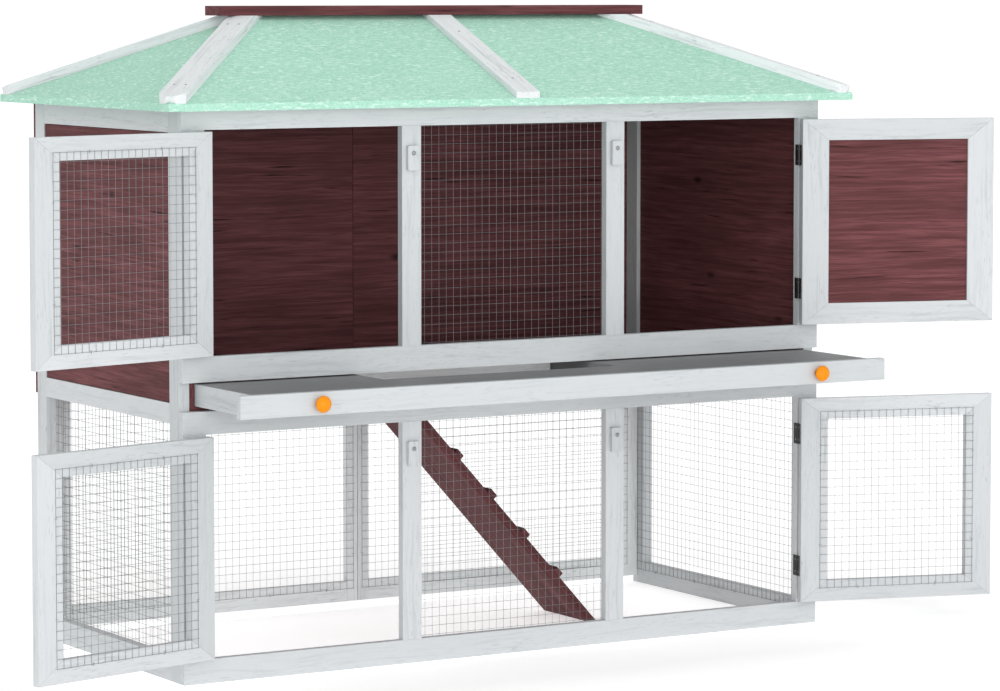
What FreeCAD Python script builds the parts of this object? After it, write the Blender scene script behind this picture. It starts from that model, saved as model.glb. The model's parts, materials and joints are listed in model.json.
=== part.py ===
"""Two-storey wooden animal hutch with four doors, a pull-out tray, a ramp and a hipped felt roof.

Sizes are in millimetres. +Z is up, +X runs to the right along the front, +Y runs from front to back.
The origin lies on the ground, in the middle of the underside of the front bottom rail.
The doors are modelled open and the tray pulled out, as the hutch stands when it is being cleaned.
"""
import FreeCAD, Part
import math
import os

from FreeCAD import Vector

# Driving dimensions of the body
FRONT_WIDTH = 1380.0
BODY_DEPTH = 640.0
FRAME_THICK = 16.0
SIDE_THICK = 21.0
WALL_THICK = 10.0
WALL_SETBACK = 2.0
BATTEN_THICK = 18.0
BACK_THICK = 8.0
FLOOR_THICK = 8.0
BAY_HEIGHT = 405.0
SLOT_HEIGHT = 52.0
BOTTOM_RAIL = 44.0
LOWER_RAIL = 42.0
MID_RAIL = 46.0
TOP_RAIL = 55.0
END_STILE = 46.0
FRONT_POST = 40.0
SIDE_FRONT_POST = 38.0
SIDE_BACK_POST = 40.0
SIDE_MID_RAIL = 37.0
SIDE_MID_RISE = 4.6
SIDE_TOP_RAIL = 60.0
BACK_RISE = 15.0
BACK_RAIL = 40.0
BACK_LAP = 20.0
BACK_END_STILE = 40.0
BACK_MIDDLE_STILE = 24.0
PANEL_GAP = 1.0
LEDGER_WIDTH = 20.0
LEDGER_HEIGHT = 10.0

# Driving dimensions of the wire mesh
WIRE = 1.2
MESH_CELL_WIDTH = 15.2
MESH_CELL_HEIGHT = 16.6
MESH_LAP = 15.5
SIDE_MESH_LAP = 23.0
MESH_STUB = 1.0

# Driving dimensions of the doors, hinges and turn buttons
DOOR_GAP = 2.4
DOOR_STILE = 54.0
DOOR_RAIL = 41.0
DOOR_PANEL_THICK = 8.0
LEFT_OPEN_DEG = 166.0
RIGHT_OPEN_DEG = 164.5
HINGE_HEIGHT = 40.0
HINGE_INSET = 70.0
LEAF_THICK = 1.0
LEAF_WIDTH = 10.0
KNUCKLE_RADIUS = 3.0
PIN_RADIUS = 1.2
RUN_GAP = 0.3
PIN_GAP = 0.1
BUTTON_WIDTH = 23.0
BUTTON_LENGTH = 46.0
BUTTON_THICK = 8.0
BUTTON_DROP = 36.0
BUTTON_PIVOT = 14.0
BUTTON_ROUND = 3.0
SCREW_RADIUS = 2.0
SCREW_HEAD_RADIUS = 4.0
SCREW_HEAD = 2.2
SCREW_BITE = 11.0

# Driving dimensions of the tray
TRAY_PULL = 225.0
TRAY_HEIGHT = 41.0
TRAY_DEPTH = 585.0
TRAY_BOARD = 12.0
TRAY_SIDE_CLEAR = 1.5
TRAY_END_CLEAR = 1.0
SLIDE_GAP = 0.4
NOTCH_WIDTH = 499.0
NOTCH_CENTRE = -83.5
NOTCH_SETBACK = 134.0
SHEET_THICK = 1.0
KNOB_RADIUS = 15.0
KNOB_LENGTH = 25.0
KNOB_NECK_RADIUS = 8.0
KNOB_NECK = 6.0
KNOB_SHOULDER = 14.5
KNOB_INSET = 156.5

# Driving dimensions of the ramp and of the kerb round its well
KERB_BOARD = 12.0
KERB_HEIGHT = 31.0
KERB_CLEAR = 4.0
WELL_LENGTH = 300.0
WELL_CENTRE = 0.0
WELL_SIDE_GAP = 8.0
RAMP_WIDTH = 157.0
RAMP_THICK = 18.0
RAMP_DEG = 47.6
RAMP_SETBACK = 317.0
RAMP_TOP_GAP = 7.0
CLEAT_COUNT = 5
CLEAT_PITCH = 111.0
CLEAT_FIRST = 145.0
CLEAT_WIDTH = 20.0
CLEAT_HEIGHT = 10.0
HANGER_LENGTH = 45.0
HANGER_HEIGHT = 30.0

# Driving dimensions of the roof
ROOF_OVERHANG = 48.0
ROOF_PITCH_DEG = 23.1
ROOF_THICK = 14.0
HIP_INSET = 299.0
CAP_WIDTH = 50.0
CAP_THICK = 11.0
CAP_SEAT = 25.0
CAP_BLUNT = 10.0
RIDGE_BOARD_WIDTH = 72.0
RIDGE_BOARD_RISE = 13.0
RIDGE_BOARD_SINK = 5.0
RIDGE_BOARD_END = 74.0

# Places that follow from the driving dimensions
HALF = FRONT_WIDTH / 2
Y_FRONT = -FRAME_THICK / 2
Y_INNER = FRAME_THICK / 2
Y_BACK = Y_FRONT + BODY_DEPTH
Y_POSTS = Y_BACK - BACK_THICK
Y_MIDDLE = (Y_FRONT + Y_BACK) / 2
BAY_WIDTH = (FRONT_WIDTH - 2 * END_STILE - 2 * FRONT_POST) / 3
X_MIDDLE_BAY = BAY_WIDTH / 2
X_DOOR_INNER = X_MIDDLE_BAY + FRONT_POST
X_DOOR_OUTER = HALF - END_STILE
X_SIDE = HALF - SIDE_THICK
X_WALL = X_SIDE - WALL_THICK
Z_LOWER_BAY = BOTTOM_RAIL
Z_LOWER_RAIL = Z_LOWER_BAY + BAY_HEIGHT
Z_SLOT = Z_LOWER_RAIL + LOWER_RAIL
Z_FLOOR = Z_SLOT + FLOOR_THICK
Z_MID_RAIL = Z_SLOT + SLOT_HEIGHT
Z_UPPER_BAY = Z_MID_RAIL + MID_RAIL
Z_TOP_RAIL = Z_UPPER_BAY + BAY_HEIGHT
Z_WALL_TOP = Z_TOP_RAIL + TOP_RAIL
PITCH = math.tan(math.radians(ROOF_PITCH_DEG))
ROOF_X = HALF + ROOF_OVERHANG
ROOF_Y = BODY_DEPTH / 2 + ROOF_OVERHANG
RIDGE_X = HALF - HIP_INSET
Z_EAVE = Z_WALL_TOP - ROOF_OVERHANG * PITCH + ROOF_THICK
Z_RIDGE = Z_EAVE + ROOF_Y * PITCH

UP = Vector(0, 0, 1)
DEEP = Vector(0, 1, 0)


def block(x0, x1, y0, y1, z0, z1):
    """A board between two corners."""
    return Part.makeBox(x1 - x0, y1 - y0, z1 - z0, Vector(x0, y0, z0))


def mirrored(shape):
    """The same piece on the other side of the middle plane."""
    return shape.mirror(Vector(0, 0, 0), Vector(1, 0, 0))


def both_sides(shape):
    """A piece and its mirror image."""
    return [shape, mirrored(shape)]


def prism(points, along):
    """A solid made by pushing a flat outline along a vector."""
    outline = Part.makePolygon(points + [points[0]])
    return Part.Face(outline).extrude(along)


def save(node, *solids):
    """One file for a node, holding one solid or several that lie apart."""
    shape = solids[0] if len(solids) == 1 else Part.makeCompound(list(solids))
    shape.exportStep("parts/" + node + ".step")


def places(low, high, cell):
    """Evenly spaced places from low to high, about one cell apart."""
    steps = max(1, round((high - low) / cell))
    return [low + (high - low) * i / steps for i in range(steps + 1)]


def wire_mesh(x0, x1, z0, z1, y0):
    """Welded mesh in the XZ plane: upright wires from y0 on, cross wires welded on behind them."""
    half = WIRE / 2
    wires = []
    for x in places(x0 + MESH_STUB, x1 - MESH_STUB, MESH_CELL_WIDTH):
        wires.append(block(x - half, x + half, y0, y0 + WIRE, z0, z1))
    for z in places(z0 + MESH_STUB, z1 - MESH_STUB, MESH_CELL_HEIGHT):
        wires.append(block(x0, x1, y0 + WIRE, y0 + 2 * WIRE, z - half, z + half))
    return Part.makeCompound(wires)


def hip_solid(z_eave, z_ridge):
    """Everything under a hipped surface with its eave and ridge at these heights, down to the ground."""
    corners = [(-ROOF_X, -ROOF_Y), (ROOF_X, -ROOF_Y), (ROOF_X, ROOF_Y), (-ROOF_X, ROOF_Y)]
    low = [Vector(x, y + Y_MIDDLE, 0) for x, y in corners]
    high = [Vector(x, y + Y_MIDDLE, z_eave) for x, y in corners]
    left = Vector(-RIDGE_X, Y_MIDDLE, z_ridge)
    right = Vector(RIDGE_X, Y_MIDDLE, z_ridge)
    outlines = [
        low,
        [low[0], low[1], high[1], high[0]],
        [low[1], low[2], high[2], high[1]],
        [low[2], low[3], high[3], high[2]],
        [low[3], low[0], high[0], high[3]],
        [high[0], high[1], right, left],
        [high[1], high[2], right],
        [high[2], high[3], left, right],
        [high[3], high[0], left],
    ]
    faces = [Part.Face(Part.makePolygon(points + [points[0]])) for points in outlines]
    solid = Part.makeSolid(Part.makeShell(faces))
    if solid.Volume < 0:
        solid.reverse()
    return solid


os.makedirs("parts", exist_ok=True)
under_roof = hip_solid(Z_EAVE - ROOF_THICK, Z_RIDGE - ROOF_THICK)
roof_envelope = hip_solid(Z_EAVE, Z_RIDGE)


def fitted(shape):
    """A board that runs up to the roof, with its top cut to the slope."""
    return shape.common(under_roof).Solids[0]


# Screws that the turn buttons swing on, one near the top of each bay on both front posts
X_BUTTON = X_MIDDLE_BAY + FRONT_POST / 2
button_tops = {"lower": Z_LOWER_RAIL - BUTTON_DROP, "upper": Z_TOP_RAIL - BUTTON_DROP}
Y_BUTTON = Y_FRONT - RUN_GAP
Y_HEAD = Y_BUTTON - BUTTON_THICK - RUN_GAP


def button_screw(x, z):
    """A round-headed screw that passes through a turn button into the post."""
    shank = Part.makeCylinder(SCREW_RADIUS, Y_FRONT + SCREW_BITE - Y_HEAD, Vector(x, Y_HEAD, z), DEEP)
    head = Part.makeCylinder(SCREW_HEAD_RADIUS, SCREW_HEAD, Vector(x, Y_HEAD - SCREW_HEAD, z), DEEP)
    return shank.fuse(head).removeSplitter().Solids[0]


def turn_button(x, z):
    """A small wooden bar with rounded corners that hangs from its screw and turns across the door."""
    low = z + BUTTON_PIVOT - BUTTON_LENGTH
    bar = block(x - BUTTON_WIDTH / 2, x + BUTTON_WIDTH / 2, Y_BUTTON - BUTTON_THICK, Y_BUTTON,
                low, z + BUTTON_PIVOT)
    corners = [e for e in bar.Edges if abs(e.tangentAt(e.FirstParameter).y) > 0.99]
    bar = bar.makeFillet(BUTTON_ROUND, corners)
    front = Vector(x, Y_BUTTON - BUTTON_THICK, z)
    hole = Part.makeCylinder(SCREW_RADIUS + PIN_GAP, BUTTON_THICK, front, DEEP)
    return bar.cut(hole).Solids[0]


screws = []
for storey, top in button_tops.items():
    pivot = top - BUTTON_PIVOT
    for side, x in (("left", -X_BUTTON), ("right", X_BUTTON)):
        screws.append(button_screw(x, pivot))
        save("turn_button_" + storey + "_" + side, turn_button(x, pivot))
save("turn_button_screws", *screws)

# Front frames: rails right across, with stiles and posts standing between them
front_rails = [
    block(-HALF, HALF, Y_FRONT, Y_INNER, 0, Z_LOWER_BAY),
    block(-HALF, HALF, Y_FRONT, Y_INNER, Z_LOWER_RAIL, Z_SLOT),
    block(-HALF, HALF, Y_FRONT, Y_INNER, Z_MID_RAIL, Z_UPPER_BAY),
    fitted(block(-HALF, HALF, Y_FRONT, Y_INNER, Z_TOP_RAIL, Z_RIDGE)),
]
save("front_rails", *front_rails)
screw_group = Part.makeCompound(screws)
front_stiles = []
front_posts = []
for low in (Z_LOWER_BAY, Z_UPPER_BAY):
    high = low + BAY_HEIGHT
    front_stiles += both_sides(block(X_DOOR_OUTER, HALF, Y_FRONT, Y_INNER, low, high))
    post = block(X_MIDDLE_BAY, X_DOOR_INNER, Y_FRONT, Y_INNER, low, high)
    front_posts += [p.cut(screw_group).Solids[0] for p in both_sides(post)]
save("front_end_stiles", *front_stiles)
save("front_middle_posts", *front_posts)

# Side frames: full-height posts with three rails between them
# Above the floor they are boarded from inside, up to a batten in the back corner
# The boarding is rebated, so its field fills the frame and lies just behind the frame's face
Y_SIDE_OPEN = Y_INNER + SIDE_FRONT_POST
Y_SIDE_END = Y_POSTS - SIDE_BACK_POST
Z_SIDE_MID = Z_FLOOR + SIDE_MID_RISE - SIDE_MID_RAIL
side_front_post = fitted(block(X_SIDE, HALF, Y_INNER, Y_SIDE_OPEN, 0, Z_RIDGE))
side_back_post = fitted(block(X_SIDE, HALF, Y_SIDE_END, Y_POSTS, 0, Z_RIDGE))
save("side_posts", *both_sides(side_front_post), *both_sides(side_back_post))
side_rails = [
    block(X_SIDE, HALF, Y_SIDE_OPEN, Y_SIDE_END, 0, BOTTOM_RAIL),
    block(X_SIDE, HALF, Y_SIDE_OPEN, Y_SIDE_END, Z_SIDE_MID, Z_SIDE_MID + SIDE_MID_RAIL),
    fitted(block(X_SIDE, HALF, Y_SIDE_OPEN, Y_SIDE_END, Z_WALL_TOP - SIDE_TOP_RAIL, Z_RIDGE)),
]
save("side_rails", *[piece for rail in side_rails for piece in both_sides(rail)])
wall_back = fitted(block(X_WALL, X_SIDE, Y_INNER, Y_SIDE_END, Z_FLOOR, Z_RIDGE))
wall_field = block(X_SIDE, HALF - WALL_SETBACK, Y_SIDE_OPEN + PANEL_GAP, Y_SIDE_END - PANEL_GAP,
                   Z_SIDE_MID + SIDE_MID_RAIL + PANEL_GAP, Z_WALL_TOP - SIDE_TOP_RAIL - PANEL_GAP)
wall = wall_back.fuse(wall_field).removeSplitter().Solids[0]
save("side_wall_right", wall)
save("side_wall_left", mirrored(wall))
corner_batten = fitted(block(X_SIDE - BATTEN_THICK, X_SIDE, Y_SIDE_END, Y_POSTS, Z_FLOOR, Z_RIDGE))
save("corner_battens", *both_sides(corner_batten))

# Back: two mesh frames between the back posts below, two boarded panels behind the posts above
Y_BACK_FRAME = Y_POSTS - FRAME_THICK
X_BACK_SEAM = PANEL_GAP / 2
back_rails = []
back_stiles = []
for low, high in ((BACK_RISE, BACK_RISE + BACK_RAIL), (Z_SLOT - BACK_RAIL, Z_SLOT)):
    rail = block(X_BACK_SEAM + BACK_MIDDLE_STILE, X_SIDE - BACK_END_STILE, Y_BACK_FRAME, Y_POSTS, low, high)
    back_rails += both_sides(rail)
middle_stile = block(X_BACK_SEAM, X_BACK_SEAM + BACK_MIDDLE_STILE, Y_BACK_FRAME, Y_POSTS, BACK_RISE, Z_SLOT)
end_stile = block(X_SIDE - BACK_END_STILE, X_SIDE, Y_BACK_FRAME, Y_POSTS, BACK_RISE, Z_SLOT)
save("back_rails", *back_rails)
save("back_stiles", *both_sides(middle_stile), *both_sides(end_stile))
back_panel = fitted(block(X_BACK_SEAM, HALF, Y_POSTS, Y_BACK, Z_SLOT - BACK_LAP, Z_RIDGE))
save("back_panels", *both_sides(back_panel))

# Welded mesh on the inner faces of the fixed frames
mesh_x = X_MIDDLE_BAY + MESH_LAP
for storey, low in (("lower", Z_LOWER_BAY), ("upper", Z_UPPER_BAY)):
    save("front_mesh_" + storey,
         wire_mesh(-mesh_x, mesh_x, low - MESH_LAP, low + BAY_HEIGHT + MESH_LAP, Y_INNER))
back_mesh = wire_mesh(X_BACK_SEAM + BACK_MIDDLE_STILE - MESH_LAP, X_SIDE - BACK_END_STILE + MESH_LAP,
                      BACK_RISE + BACK_RAIL - MESH_LAP, Z_SLOT - BACK_RAIL + MESH_LAP,
                      -Y_BACK_FRAME)
back_mesh.rotate(Vector(0, 0, 0), UP, 180)
save("back_mesh_left", back_mesh)
save("back_mesh_right", mirrored(back_mesh))
side_mesh = wire_mesh(Y_SIDE_OPEN - SIDE_MESH_LAP, Y_SIDE_END + SIDE_MESH_LAP,
                      BOTTOM_RAIL - MESH_LAP, Z_SLOT - LEDGER_HEIGHT - PANEL_GAP,
                      -X_SIDE)
side_mesh.rotate(Vector(0, 0, 0), UP, 90)
save("side_mesh_right", side_mesh)
save("side_mesh_left", mirrored(side_mesh))

# Floor of the upper storey, carried on ledgers, with the well for the ramp cut through it
X_WELL_LEFT = WELL_CENTRE - WELL_LENGTH / 2
X_WELL_RIGHT = WELL_CENTRE + WELL_LENGTH / 2
Y_RAMP = Y_FRONT + RAMP_SETBACK
Y_WELL = RAMP_WIDTH / 2 + WELL_SIDE_GAP
floor = block(-X_SIDE, X_SIDE, Y_INNER, Y_POSTS, Z_SLOT, Z_FLOOR)
well = block(X_WELL_LEFT, X_WELL_RIGHT, Y_RAMP - Y_WELL, Y_RAMP + Y_WELL, Z_SLOT, Z_FLOOR)
save("floor_panel", floor.cut(well).Solids[0])
Z_LEDGER = Z_SLOT - LEDGER_HEIGHT
ledger = block(X_SIDE - LEDGER_WIDTH, X_SIDE, Y_SIDE_OPEN, Y_SIDE_END, Z_LEDGER, Z_SLOT)
front_ledger = block(-X_SIDE, X_SIDE, Y_INNER, Y_INNER + LEDGER_WIDTH, Z_LEDGER, Z_SLOT)
save("floor_ledgers", *both_sides(ledger), front_ledger)

# Kerb round the well, which keeps bedding on the tray; the notch of the tray slides round it
NOTCH_LEFT = NOTCH_CENTRE - NOTCH_WIDTH / 2
NOTCH_RIGHT = NOTCH_CENTRE + NOTCH_WIDTH / 2
KERB_LEFT = NOTCH_LEFT + KERB_CLEAR
KERB_RIGHT = NOTCH_RIGHT - KERB_CLEAR
Y_KERB = Y_FRONT + NOTCH_SETBACK + KERB_CLEAR
Z_KERB = Z_FLOOR + KERB_HEIGHT
save("kerb_front", block(KERB_LEFT, KERB_RIGHT, Y_KERB, Y_KERB + KERB_BOARD, Z_FLOOR, Z_KERB))
save("kerb_sides",
     block(KERB_LEFT, KERB_LEFT + KERB_BOARD, Y_KERB + KERB_BOARD, Y_POSTS, Z_FLOOR, Z_KERB),
     block(KERB_RIGHT - KERB_BOARD, KERB_RIGHT, Y_KERB + KERB_BOARD, Y_POSTS, Z_FLOOR, Z_KERB))

# Ramp: one board down to the ground, cleats across it and a bevelled block that carries its top
slope = math.radians(RAMP_DEG)
DOWN_RAMP = Vector(math.cos(slope), 0, -math.sin(slope))
OUT_OF_RAMP = Vector(math.sin(slope), 0, math.cos(slope))
X_UNDER_TOP = X_WELL_LEFT + RAMP_TOP_GAP
X_UNDER_FOOT = X_UNDER_TOP + Z_SLOT / math.tan(slope)
Y_RAMP_LOW = Y_RAMP - RAMP_WIDTH / 2
across = DEEP * RAMP_WIDTH
level_thick = RAMP_THICK / math.sin(slope)
ramp_board = prism([
    Vector(X_UNDER_TOP, Y_RAMP_LOW, Z_SLOT),
    Vector(X_UNDER_FOOT, Y_RAMP_LOW, 0),
    Vector(X_UNDER_FOOT + level_thick, Y_RAMP_LOW, 0),
    Vector(X_UNDER_TOP + level_thick, Y_RAMP_LOW, Z_SLOT),
], across)
save("ramp_board", ramp_board)
foot = Vector(X_UNDER_FOOT + level_thick, Y_RAMP_LOW, 0)
cleats = []
for number in range(CLEAT_COUNT):
    start = foot - DOWN_RAMP * (CLEAT_FIRST + CLEAT_PITCH * number)
    cleats.append(prism([
        start,
        start + DOWN_RAMP * CLEAT_WIDTH,
        start + DOWN_RAMP * CLEAT_WIDTH + OUT_OF_RAMP * CLEAT_HEIGHT,
        start + OUT_OF_RAMP * CLEAT_HEIGHT,
    ], across))
save("ramp_cleats", *cleats)
hanger_foot = X_UNDER_TOP + HANGER_HEIGHT / math.tan(slope)
save("ramp_hanger", prism([
    Vector(X_UNDER_TOP - HANGER_LENGTH, Y_RAMP_LOW, Z_SLOT),
    Vector(X_UNDER_TOP, Y_RAMP_LOW, Z_SLOT),
    Vector(hanger_foot, Y_RAMP_LOW, Z_SLOT - HANGER_HEIGHT),
    Vector(X_UNDER_TOP - HANGER_LENGTH, Y_RAMP_LOW, Z_SLOT - HANGER_HEIGHT),
], across))

# Tray: a front board across the whole slot, boards on edge behind it and a sheet laid on top of them
Y_TRAY = Y_FRONT - TRAY_PULL
Y_TRAY_BOX = Y_TRAY + FRAME_THICK
Y_TRAY_END = Y_TRAY + TRAY_DEPTH
Y_NOTCH = Y_TRAY + NOTCH_SETBACK
Z_TRAY = Z_FLOOR + SLIDE_GAP
Z_TRAY_TOP = Z_TRAY + TRAY_HEIGHT
X_TRAY = X_WALL - TRAY_SIDE_CLEAR
X_TRAY_IN = X_TRAY - TRAY_BOARD
Z_SHEET = Z_TRAY_TOP - SHEET_THICK
tray_plan = [(-X_TRAY, Y_TRAY_BOX), (X_TRAY, Y_TRAY_BOX), (X_TRAY, Y_TRAY_END), (NOTCH_RIGHT, Y_TRAY_END),
             (NOTCH_RIGHT, Y_NOTCH), (NOTCH_LEFT, Y_NOTCH), (NOTCH_LEFT, Y_TRAY_END), (-X_TRAY, Y_TRAY_END)]
save("tray_sheet", prism([Vector(x, y, Z_SHEET) for x, y in tray_plan], UP * SHEET_THICK))


def tray_board(x0, x1, y0, y1):
    """A tray board on edge under the sheet."""
    return block(x0, x1, y0, y1, Z_TRAY, Z_SHEET)


save("tray_front",
     block(-HALF + TRAY_END_CLEAR, HALF - TRAY_END_CLEAR, Y_TRAY, Y_TRAY_BOX, Z_TRAY, Z_TRAY_TOP))
save("tray_sides",
     tray_board(-X_TRAY, -X_TRAY_IN, Y_TRAY_BOX, Y_TRAY_END),
     tray_board(X_TRAY_IN, X_TRAY, Y_TRAY_BOX, Y_TRAY_END),
     tray_board(NOTCH_LEFT - TRAY_BOARD, NOTCH_LEFT, Y_NOTCH, Y_TRAY_END),
     tray_board(NOTCH_RIGHT, NOTCH_RIGHT + TRAY_BOARD, Y_NOTCH, Y_TRAY_END))
save("tray_cross_boards",
     tray_board(NOTCH_LEFT - TRAY_BOARD, NOTCH_RIGHT + TRAY_BOARD, Y_NOTCH - TRAY_BOARD, Y_NOTCH),
     tray_board(-X_TRAY_IN, NOTCH_LEFT - TRAY_BOARD, Y_TRAY_END - TRAY_BOARD, Y_TRAY_END),
     tray_board(NOTCH_RIGHT + TRAY_BOARD, X_TRAY_IN, Y_TRAY_END - TRAY_BOARD, Y_TRAY_END))


def knob(x, z):
    """A turned knob: a neck on the board, a flare and a ball-shaped crown."""
    rise = KNOB_LENGTH - KNOB_SHOULDER
    ball = (KNOB_RADIUS ** 2 + rise ** 2) / (2 * rise)
    turn = math.asin(KNOB_RADIUS / ball) / 2
    waist = Vector(KNOB_NECK_RADIUS, 0, KNOB_NECK)
    shoulder = Vector(KNOB_RADIUS, 0, KNOB_SHOULDER)
    bend = Vector(ball * math.sin(turn), 0, KNOB_LENGTH - ball + ball * math.cos(turn))
    crown = Vector(0, 0, KNOB_LENGTH)
    edges = [
        Part.LineSegment(Vector(0, 0, 0), Vector(KNOB_NECK_RADIUS, 0, 0)).toShape(),
        Part.LineSegment(Vector(KNOB_NECK_RADIUS, 0, 0), waist).toShape(),
        Part.LineSegment(waist, shoulder).toShape(),
        Part.Arc(shoulder, bend, crown).toShape(),
        Part.LineSegment(crown, Vector(0, 0, 0)).toShape(),
    ]
    solid = Part.Face(Part.Wire(edges)).revolve(Vector(0, 0, 0), UP, 360)
    solid.rotate(Vector(0, 0, 0), Vector(1, 0, 0), 90)
    solid.translate(Vector(x, Y_TRAY, z))
    return solid


Z_KNOB = (Z_TRAY + Z_TRAY_TOP) / 2
save("tray_knobs", knob(-HALF + KNOB_INSET, Z_KNOB), knob(HALF - KNOB_INSET, Z_KNOB))

# Hinges: one leaf on the end stile, one on the door's edge, rolled round a pin in front of the frame
X_HINGE = X_DOOR_OUTER - DOOR_GAP / 2
Y_HINGE = Y_FRONT - KNUCKLE_RADIUS - RUN_GAP
KNUCKLE = HINGE_HEIGHT / 3


def knuckle(radius, z0, z1):
    """A round of a right-hand hinge about its pin."""
    return Part.makeCylinder(radius, z1 - z0, Vector(X_HINGE, Y_HINGE, z0))


def fixed_leaf(z):
    """The leaf on the right-hand end stile, with its two outer rounds and the pin."""
    low = z - HINGE_HEIGHT / 2
    high = z + HINGE_HEIGHT / 2
    plate = block(X_DOOR_OUTER - LEAF_THICK, X_DOOR_OUTER, Y_HINGE, Y_FRONT + LEAF_WIDTH, low, high)
    plate = plate.cut(knuckle(KNUCKLE_RADIUS + RUN_GAP, low + KNUCKLE - RUN_GAP, high - KNUCKLE + RUN_GAP))
    rounds = [
        knuckle(KNUCKLE_RADIUS, low, low + KNUCKLE - RUN_GAP),
        knuckle(KNUCKLE_RADIUS, high - KNUCKLE + RUN_GAP, high),
        knuckle(PIN_RADIUS, low, high),
    ]
    return plate.fuse(rounds).removeSplitter().Solids[0]


def door_leaf(z):
    """The leaf on the edge of a closed right-hand door, with the middle round bored for the pin."""
    low = z - HINGE_HEIGHT / 2
    high = z + HINGE_HEIGHT / 2
    edge = X_DOOR_OUTER - DOOR_GAP
    plate = block(edge, edge + LEAF_THICK, Y_HINGE, Y_FRONT + LEAF_WIDTH, low, high)
    plate = plate.cut(knuckle(KNUCKLE_RADIUS + RUN_GAP, low, low + KNUCKLE))
    plate = plate.cut(knuckle(KNUCKLE_RADIUS + RUN_GAP, high - KNUCKLE, high))
    middle = knuckle(KNUCKLE_RADIUS, low + KNUCKLE, high - KNUCKLE)
    leaf = plate.fuse(middle)
    return leaf.cut(knuckle(PIN_RADIUS + PIN_GAP, low, high)).removeSplitter().Solids[0]


# Doors: mitred frames with mesh or a panel, made closed in the right-hand bay
# They are swung open about the hinge pin, and mirrored for the left
X_DOOR_LOW = X_DOOR_INNER + DOOR_GAP
X_DOOR_HIGH = X_DOOR_OUTER - DOOR_GAP
X_PANEL_LOW = X_DOOR_LOW + DOOR_STILE
X_PANEL_HIGH = X_DOOR_HIGH - DOOR_STILE


def hinge_heights(low):
    """Where the two hinges of a bay sit."""
    return (low + DOOR_GAP + HINGE_INSET, low + BAY_HEIGHT - DOOR_GAP - HINGE_INSET)


def door_pieces(low, solid_panel):
    """The pieces of one closed right-hand door in the bay that starts at this height."""
    z0 = low + DOOR_GAP
    z1 = low + BAY_HEIGHT - DOOR_GAP
    outer = [(X_DOOR_LOW, z0), (X_DOOR_HIGH, z0), (X_DOOR_HIGH, z1), (X_DOOR_LOW, z1)]
    inner = [(X_PANEL_LOW, z0 + DOOR_RAIL), (X_PANEL_HIGH, z0 + DOOR_RAIL),
             (X_PANEL_HIGH, z1 - DOOR_RAIL), (X_PANEL_LOW, z1 - DOOR_RAIL)]
    sides = []
    for i in range(len(outer)):
        corners = [outer[i - 1], outer[i], inner[i], inner[i - 1]]
        sides.append(prism([Vector(x, Y_FRONT, z) for x, z in corners], DEEP * FRAME_THICK))
    pieces = {"stiles": sides[0::2], "rails": sides[1::2]}
    pieces["hinge_leaves"] = [door_leaf(z) for z in hinge_heights(low)]
    if solid_panel:
        middle = (Y_FRONT + Y_INNER) / 2
        pieces["panel"] = [block(X_PANEL_LOW, X_PANEL_HIGH, middle - DOOR_PANEL_THICK / 2,
                                 middle + DOOR_PANEL_THICK / 2, z0 + DOOR_RAIL, z1 - DOOR_RAIL)]
    else:
        pieces["mesh"] = [wire_mesh(X_PANEL_LOW - MESH_LAP, X_PANEL_HIGH + MESH_LAP,
                                    z0 + DOOR_RAIL - MESH_LAP, z1 - DOOR_RAIL + MESH_LAP, Y_INNER)]
    return pieces


def opened(shape, angle):
    """A piece of a closed right-hand door, swung out with it."""
    turned = shape.copy()
    turned.rotate(Vector(X_HINGE, Y_HINGE, 0), UP, angle)
    return turned


for storey, low in (("lower", Z_LOWER_BAY), ("upper", Z_UPPER_BAY)):
    for side, angle in (("left", LEFT_OPEN_DEG), ("right", RIGHT_OPEN_DEG)):
        boarded = storey == "upper" and side == "right"
        for kind, solids in door_pieces(low, boarded).items():
            solids = [opened(solid, angle) for solid in solids]
            if side == "left":
                solids = [mirrored(solid) for solid in solids]
            save("door_" + storey + "_" + side + "_" + kind, *solids)

frame_leaves = []
for low in (Z_LOWER_BAY, Z_UPPER_BAY):
    for z in hinge_heights(low):
        frame_leaves += both_sides(fixed_leaf(z))
save("frame_hinge_leaves", *frame_leaves)

# Roof: six felted panels that meet on the hips, the ridge and the middle of the long slopes
drop = Vector(0, 0, -ROOF_THICK)
ridge_end = Vector(RIDGE_X, Y_MIDDLE, Z_RIDGE)
ridge_middle = Vector(0, Y_MIDDLE, Z_RIDGE)
front_corner = Vector(ROOF_X, Y_MIDDLE - ROOF_Y, Z_EAVE)
back_corner = Vector(ROOF_X, Y_MIDDLE + ROOF_Y, Z_EAVE)
front_middle = Vector(0, Y_MIDDLE - ROOF_Y, Z_EAVE)
back_middle = Vector(0, Y_MIDDLE + ROOF_Y, Z_EAVE)
right_panels = {
    "front": prism([front_middle, front_corner, ridge_end, ridge_middle], drop),
    "back": prism([back_middle, back_corner, ridge_end, ridge_middle], drop),
    "end": prism([front_corner, back_corner, ridge_end], drop),
}
for name, panel in right_panels.items():
    save("roof_" + name + "_right", panel)
    save("roof_" + name + "_left", mirrored(panel))

# Ridge board and cap boards, grooved underneath to sit on the felt
# The ridge board lies flat on the upper ends of the caps, which are planed down level for it
ridge_half = RIDGE_X + RIDGE_BOARD_END
ridge_side = RIDGE_BOARD_WIDTH / 2
Z_RIDGE_SEAT = Z_RIDGE - RIDGE_BOARD_SINK
ridge_board = block(-ridge_half, ridge_half, Y_MIDDLE - ridge_side, Y_MIDDLE + ridge_side,
                    Z_RIDGE_SEAT, Z_RIDGE + RIDGE_BOARD_RISE)
save("ridge_board", ridge_board.cut(roof_envelope).Solids[0])
front_half = block(-ROOF_X, ROOF_X, Y_MIDDLE - ROOF_Y, Y_MIDDLE - PANEL_GAP / 2, 0, Z_RIDGE_SEAT)


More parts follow.
